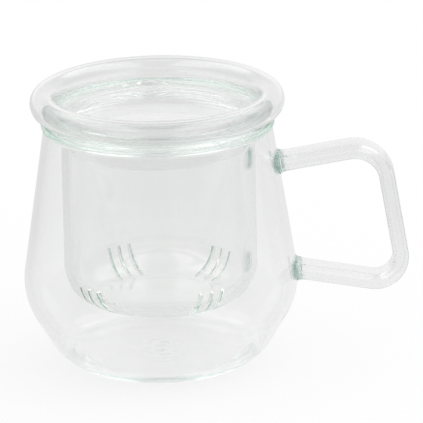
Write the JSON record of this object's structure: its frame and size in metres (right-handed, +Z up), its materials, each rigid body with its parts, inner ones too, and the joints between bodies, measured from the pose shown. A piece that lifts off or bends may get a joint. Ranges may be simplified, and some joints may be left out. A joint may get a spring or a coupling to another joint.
{
  "type": "tea glass",
  "caption": "Clear glass tea mug with a tapering wall, rounded belly and angular handle, a lift-out slitted glass infuser that hangs on its rim, and a lift-off glass lid with a hollow round rim.",
  "frame": {"origin": "centre of the flat base, on the mug's axis", "axes": "+Z up along the mug's axis, +X towards the handle, +Y away from the picture's camera"},
  "size_m": [0.1341, 0.0952, 0.099],
  "materials": {
    "mug_glass": "clear fire-polished blown glass, faint green in its thick edges",
    "handle_glass": "clear fire-polished drawn bar, green at the fused ends",
    "infuser_glass": "clear fire-polished glass with ground slits",
    "lid_glass": "clear blown glass, green where its rim joins the plate"
  },
  "bodies": {
    "mug": {"mug_body": "mug_glass", "handle": "handle_glass"},
    "infuser": {"infuser": "infuser_glass"},
    "lid": {"lid": "lid_glass"}
  },
  "joints": [
    {"name": "infuser_lift", "type": "slide", "parent": "mug", "child": "infuser", "axis": [0, 0, 1], "range_m": [0, 0.075]},
    {"name": "lid_lift", "type": "slide", "parent": "infuser", "child": "lid", "axis": [0, 0, 1], "range_m": [0, 0.04]}
  ]
}
